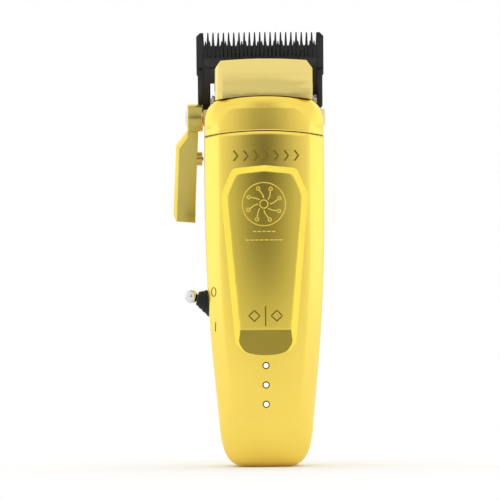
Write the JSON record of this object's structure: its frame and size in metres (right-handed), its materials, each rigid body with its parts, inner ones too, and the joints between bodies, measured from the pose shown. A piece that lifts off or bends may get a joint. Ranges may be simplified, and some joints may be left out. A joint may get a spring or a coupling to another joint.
{
  "type": "hair clipper",
  "caption": "Cordless full-metal hair clipper with wide blade set, taper lever, side toggle switch, thumb plate and status lights.",
  "frame": {"origin": "centre of the flat face at the tail that the clipper stands on", "axes": "+Z runs from the tail up to the blade tips; the label face with the thumb plate looks along -Y; the taper lever and the toggle switch are on the -X side"},
  "size_m": [0.0565, 0.0404, 0.1602],
  "materials": {
    "gold_shell": "satin anodised gold",
    "gold_plate": "brushed anodised dark gold",
    "black_blade": "black ceramic coated steel, satin",
    "chrome": "polished",
    "plain_steel": "satin",
    "spring_steel": "drawn wire",
    "brass": "turned",
    "chassis_plastic": "moulded, fine texture",
    "pale_plastic": "moulded acetal",
    "black_rubber": "matt",
    "clear_lens": "clear moulded light pipe",
    "board_green": "solder mask",
    "chip_black": "moulded epoxy",
    "cell_wrap": "shrink sleeve",
    "nickel": "plated strip",
    "copper_coil": "enamelled copper wire",
    "magnet": "plated magnet"
  },
  "bodies": {
    "body": {"front_shell": "gold_shell", "back_shell": "gold_shell", "collar": "gold_shell", "nose_cap": "gold_shell", "thumb_plate": "gold_plate", "seam_gasket": "black_rubber", "case_screws": "plain_steel", "head_chassis": "chassis_plastic", "motor_can": "plain_steel", "motor_bearings": "plain_steel", "stator_coils": "copper_coil", "motor_screws": "plain_steel", "spring_rods": "plain_steel", "tension_spring": "spring_steel", "lever_bush": "pale_plastic", "pivot_cap": "pale_plastic", "switch_body": "chip_black", "toggle_pin": "plain_steel", "toggle_boot": "black_rubber", "main_board": "board_green", "board_components": "chip_black", "status_lights": "clear_lens", "light_lenses": "clear_lens", "switch_terminals": "nickel", "battery_cell": "cell_wrap", "battery_tabs": "nickel", "battery_cradle": "chassis_plastic", "charge_socket": "chassis_plastic", "socket_contact": "brass"},
    "taper_lever": {"taper_lever": "gold_shell", "lever_shaft": "plain_steel", "lever_screw": "chrome", "detent_sleeve": "brass", "detent_spring": "spring_steel"},
    "detent": {"detent_pin": "plain_steel"},
    "blade_carriage": {"blade_carriage": "plain_steel", "fixed_blade": "black_blade", "blade_screws": "chrome"},
    "cutter": {"cutter_blade": "black_blade", "cam_follower": "pale_plastic"},
    "rotor": {"rotor_magnet": "magnet", "motor_shaft": "plain_steel", "drive_cam": "brass"},
    "toggle": {"toggle_arm": "plain_steel", "toggle_ball": "chrome"}
  },
  "joints": [
    {"name": "taper_lever_turn", "type": "hinge", "parent": "body", "child": "taper_lever", "pos_m": [0, 0.002, 0.1285], "axis": [1, 0, 0], "range_deg": [-44, 0]},
    {"name": "detent_press", "type": "slide", "parent": "taper_lever", "child": "detent", "axis": [1, 0, 0], "range_m": [-0.0008, 0], "stiffness_N_per_m": 300, "deforming": ["detent_spring"]},
    {"name": "blade_taper_slide", "type": "slide", "parent": "body", "child": "blade_carriage", "axis": [0, -0.2079, 0.9781], "range_m": [-0.0018, 0]},
    {"name": "cutter_stroke", "type": "slide", "parent": "body", "child": "cutter", "axis": [1, 0, 0], "range_m": [-0.001, 0.001]},
    {"name": "rotor_spin", "type": "hinge", "parent": "body", "child": "rotor", "pos_m": [0, -0.0035, 0.1], "axis": [0, 0, 1], "continuous": true},
    {"name": "toggle_flip", "type": "hinge", "parent": "body", "child": "toggle", "pos_m": [-0.0093, -0.0065, 0.0582], "axis": [0, 1, 0], "range_deg": [-28.2, 0], "deforming": ["toggle_boot"]}
  ],
  "couplings": [
    {"joint": "taper_lever_turn", "follows": "blade_taper_slide", "rad_per_m": 426}
  ]
}
